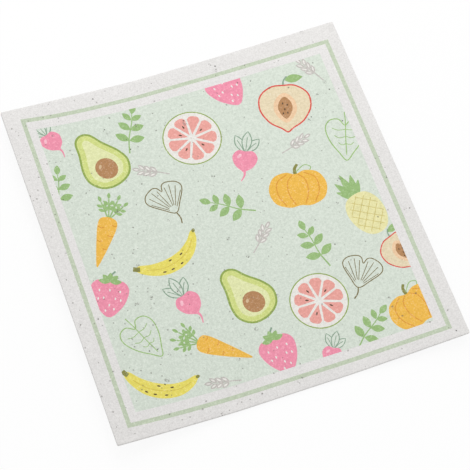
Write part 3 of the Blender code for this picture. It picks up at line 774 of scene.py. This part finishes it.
class Shade:
    """One output of a node. Sums on it add Math nodes to the same tree."""

    def __init__(self, tree, socket=None):
        self.tree = tree
        self.socket = socket

    def node(self, kind, settings=(), output=None, **sockets):
        """Adds a node: its settings first, with a ramp's stops among them, then its sockets, each
        by its identifier, with a value or a link. Gives the output with the identifier that is
        asked for, or else the first."""
        made = self.tree.nodes.new("ShaderNode" + kind)
        for name, value in dict(settings).items():
            if name == "stops":
                for stop, (position, grey) in zip(made.color_ramp.elements, value):
                    stop.position = position
                    stop.color = (grey, grey, grey, 1)
            else:
                setattr(made, name, value)
        by_name = {socket.identifier.replace(" ", "_"): socket for socket in made.inputs}
        for name, value in sockets.items():
            if isinstance(value, Shade):
                self.tree.links.new(value.socket, by_name[name])
            else:
                by_name[name].default_value = value
        outputs = {socket.identifier: socket for socket in made.outputs}
        first = next(iter(made.outputs), None)
        return Shade(self.tree, outputs[output] if output else first)

    def sum(self, operation, first, second):
        """A Math node of two values, by the name of its operation."""
        return self.node("Math", {"operation": operation}, Value=first, Value_001=second)

    def larger(self, other):
        """The larger of two outputs."""
        return self.sum("MAXIMUM", self, other)

    def __add__(self, other):
        return self.sum("ADD", self, other)

    def __sub__(self, other):
        return self.sum("SUBTRACT", self, other)

    def __rsub__(self, other):
        return self.sum("SUBTRACT", other, self)

    def __mul__(self, other):
        return self.sum("MULTIPLY", self, other)

    __radd__ = __add__
    __rmul__ = __mul__

    def ramp(self, low, high):
        """From 0 at one value to 1 at another, smoothly, and level beyond them."""
        curve = {"interpolation_type": "SMOOTHSTEP"}
        return self.node("MapRange", curve, Value=self, From_Min=low, From_Max=high)

    def mixed(self, first, second):
        """Between two colours, this output saying how much of the second."""
        colours = {"data_type": "RGBA"}
        sockets = {"Factor_Float": self, "A_Color": first, "B_Color": second}
        return self.node("Mix", colours, output="Result_Color", **sockets)


def sponge_finish():
    """The bare sponge's tone is mostly its fine grain, less its mottle and its clouds, and it is
    a little darker to the left. Ink lies over it by its cover, and varies with the same noises.
    Over both come the shade painted into the open pores, grey dots of painted pore shade with a
    little grey of the smudges, and the near-black specks."""
    finish = bpy.data.materials.new("printed_sponge")
    finish.use_nodes = True
    tree = finish.node_tree
    shader = tree.nodes["Principled BSDF"]
    start = Shade(tree)
    place = start.node("TexCoord", output="Object")
    leftward = start.node("SeparateXYZ", Vector=place) * (-1 / WIDTH)

    def noise(size, detail=2.0, rough=0.5):
        """Noise about zero, whose blotches are about this many millimetres across."""
        scale = 1 / (size * MM)
        value = start.node("TexNoise", Vector=place, Scale=scale, Detail=detail, Roughness=rough)
        return value - 0.5

    ragged = noise(0.6, 1)

    def dots(pitch, reach, thick, soft=0.1):
        """Ragged dots, at most one in each cell of about this many millimetres: a dot reaches out
        by a share of the pitch that grows with its cell's own random grey and where dots are
        thick. Its rim is soft over some millimetres."""
        cells = {"voronoi_dimensions": "3D", "feature": "F1"}
        scale = 1 / (pitch * MM)
        away = start.node("TexVoronoi", cells, Vector=place, Scale=scale)
        grey = start.node("TexVoronoi", cells, output="Color", Vector=place, Scale=scale)
        rim = away + ragged * (RIM_WANDER / pitch)
        return ((grey + thick).ramp(DOT_FROM, 1.0) * reach - rim).ramp(0, soft / pitch)

    cloudy = noise(16)
    mottle = noise(1.6, 3, 0.6)
    grain = noise(0.8, 2, 0.6)
    smudges = dots(pitch=6.8, reach=0.28, thick=0.1, soft=0.8)
    thick = smudges * 0.5 + leftward * 0.2
    # Grey dots of painted shade, for pores too small to model; the fine ones also dip the bump.
    fine_dots = dots(pitch=0.95, reach=0.52, thick=thick - 0.12)
    specks = dots(pitch=2.4, reach=0.27, thick=thick - 0.035)
    lone_specks = dots(pitch=7.0, reach=0.075, thick=0.2)
    black_specks = lone_specks.larger(dots(pitch=1.6, reach=0.36, thick=smudges * 0.5 - 0.4))

    tone = grain * 1.3 + mottle * 0.6 + cloudy * 0.3 - leftward * 0.1
    bare = tone.ramp(-0.5, 0.5).mixed((*linear(*SPONGE_DARK), 1), (*linear(*SPONGE_LIGHT), 1))
    ink = start.node("Attribute", {"attribute_name": "ink"})
    cover = start.node("Attribute", {"attribute_name": "ink"}, output="Alpha")
    thinner = (mottle * 0.45 + grain * 0.25 - leftward * 0.06).ramp(-0.12, 0.12)
    tinted = start.node(
        "Mix",
        {"data_type": "RGBA", "blend_type": "MULTIPLY"},
        output="Result_Color",
        Factor_Float=1.0,
        A_Color=ink,
        B_Color=thinner.mixed(INK_THICK, INK_THIN),
    )
    missed = (grain * 0.6 + mottle * 0.4).ramp(0.05, 0.18) * 0.25
    printed = (cover * (1 - missed)).mixed(bare, tinted)

    # Painted shade: the deeper a point lies in a modelled pore, the more of the dark grey goes into
    # its colour.
    pit = start.node("Attribute", {"attribute_name": "pit"}, output="Fac")
    pore_shade_colour = (*linear(*PAINTED_PORE_SHADE), 1)
    pore_shaded = (pit.ramp(0.0, 0.8) * 0.7).mixed(printed, pore_shade_colour)
    # Painted pore shade as grey dots, with a little grey of the smudges, in the same dark grey.
    dot_shade_and_smudges = (fine_dots * (smudges * 0.5 + 0.15) + smudges * 0.08).larger(specks * 0.5)
    dot_shaded = dot_shade_and_smudges.mixed(pore_shaded, pore_shade_colour)
    colour = (black_specks * 0.8).mixed(dot_shaded, (*linear(*SPECK), 1))
    tree.links.new(colour.socket, shader.inputs["Base Color"])

    roughness = grain * 0.1 + BARE_ROUGHNESS - cover * 0.05
    tree.links.new(roughness.socket, shader.inputs["Roughness"])
    surface = grain * 0.6 + mottle * 0.3 - fine_dots * 0.4
    bump = start.node("Bump", Strength=BUMP_STRENGTH, Distance=BUMP_DEPTH, Height=surface)
    tree.links.new(bump.socket, shader.inputs["Normal"])
    shader.inputs["Specular IOR Level"].default_value = SPONGE_SHINE
    return finish


cloth = bpy.data.objects.new("printed_sponge_cloth", sheet_mesh())
bpy.context.scene.collection.objects.link(cloth)
cloth.data.materials.append(sponge_finish())
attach(cloth, "root")
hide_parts("sponge_cloth")

# The table. A plain white surface, as in a product photograph. Seen straight on it is nearly
# white by itself, and it keeps a share of its own shading, so the cloth's soft shadow shows. A
# hair's breadth keeps its surface apart from the underside that rests on it.
TABLE_HALF = 3.0
TABLE_GAP = 0.02 * MM
TABLE_WHITE = 0.95
TABLE_OWN_LIGHT = 0.9


def seen_directly(start):
    """1 for rays from the camera, from a glossy surface or through glass, and 0 for the rest."""
    kinds = ("Is Camera Ray", "Is Glossy Ray", "Is Transmission Ray")
    camera, glossy, through = (start.node("LightPath", output=kind) for kind in kinds)
    return camera.larger(glossy).larger(through)


def table_finish():
    """Matt white, mixed with plain white where it is seen directly."""
    finish = bpy.data.materials.new("white_table")
    finish.use_nodes = True
    tree = finish.node_tree
    tree.nodes.clear()
    start = Shade(tree)
    matt = start.node("BsdfDiffuse", Color=(TABLE_WHITE, TABLE_WHITE, TABLE_WHITE, 1))
    white = start.node("Emission", Color=(1, 1, 1, 1), Strength=1.0)
    share = seen_directly(start) * TABLE_OWN_LIGHT
    mixed = start.node("MixShader", Fac=share, Shader=matt, Shader_001=white)
    start.node("OutputMaterial", Surface=mixed)
    return finish


table_mesh = bpy.data.meshes.new("table")
table_corners = np.array([[-1, -1], [1, -1], [1, 1], [-1, 1]]) * TABLE_HALF
table_corners = np.insert(table_corners, 2, -TABLE_GAP, axis=1)
table_mesh.from_pydata(table_corners.tolist(), [], [(0, 1, 2, 3)])
table = bpy.data.objects.new("table", table_mesh)
bpy.context.scene.collection.objects.link(table)
table_mesh.materials.append(table_finish())

# The light. A large soft lamp beyond the far side and an even room make a white sheet that
# lies flat about as bright as it is written, a little brighter at its far side.
ROOM_GREY = (0.8, 0.8, 0.8, 1)
ROOM_LIGHT = 0.87
LAMP_PLACE = Vector((0.1, 0.6, 0.75))
LAMP_SIZE = 0.8
LAMP_POWER = 4.2

lamp = bpy.data.lights.new("soft_lamp", "AREA")
lamp.shape = "SQUARE"
lamp.size = LAMP_SIZE
lamp.energy = LAMP_POWER
lamp_object = bpy.data.objects.new("soft_lamp", lamp)
lamp_object.location = LAMP_PLACE
lamp_object.rotation_euler = LAMP_PLACE.to_track_quat("Z", "Y").to_euler()
bpy.context.scene.collection.objects.link(lamp_object)

room = bpy.data.worlds.new("room")
bpy.context.scene.world = room
room.use_nodes = True
room.node_tree.nodes.clear()
room_start = Shade(room.node_tree)
room_even = room_start.node("Background", Color=ROOM_GREY, Strength=ROOM_LIGHT)
room_white = room_start.node("Background", Color=(1, 1, 1, 1), Strength=1.0)
room_mixed = room_start.node(
    "MixShader", Fac=seen_directly(room_start), Shader=room_even, Shader_001=room_white
)
room_start.node("OutputWorld", Surface=room_mixed)

# The camera. A long lens looks down on the cloth from its near left side, turned a little.
AIM = Vector((0.35, -6.25, 1.65)) * MM
DISTANCE = 1039.8 * MM
ELEVATION = math.radians(65.302)
AZIMUTH = math.radians(-27.228)
ROLL = math.radians(7.932)
LENS_LENGTH = 144.98
SENSOR_WIDTH = 36

camera = bpy.data.cameras.new("camera")
camera.lens = LENS_LENGTH
camera.sensor_width = SENSOR_WIDTH
camera.dof.use_dof = False
camera_object = bpy.data.objects.new("camera", camera)
back = Vector((
    math.sin(AZIMUTH) * math.cos(ELEVATION),
    -math.cos(AZIMUTH) * math.cos(ELEVATION),
    math.sin(ELEVATION),
))
camera_object.location = AIM + back * DISTANCE
camera_object.rotation_mode = "QUATERNION"
camera_object.rotation_quaternion = back.to_track_quat("Z", "Y") @ Quaternion((0, 0, 1), ROLL)
bpy.context.scene.collection.objects.link(camera_object)
bpy.context.scene.camera = camera_object
bpy.context.scene.view_settings.view_transform = "Standard"
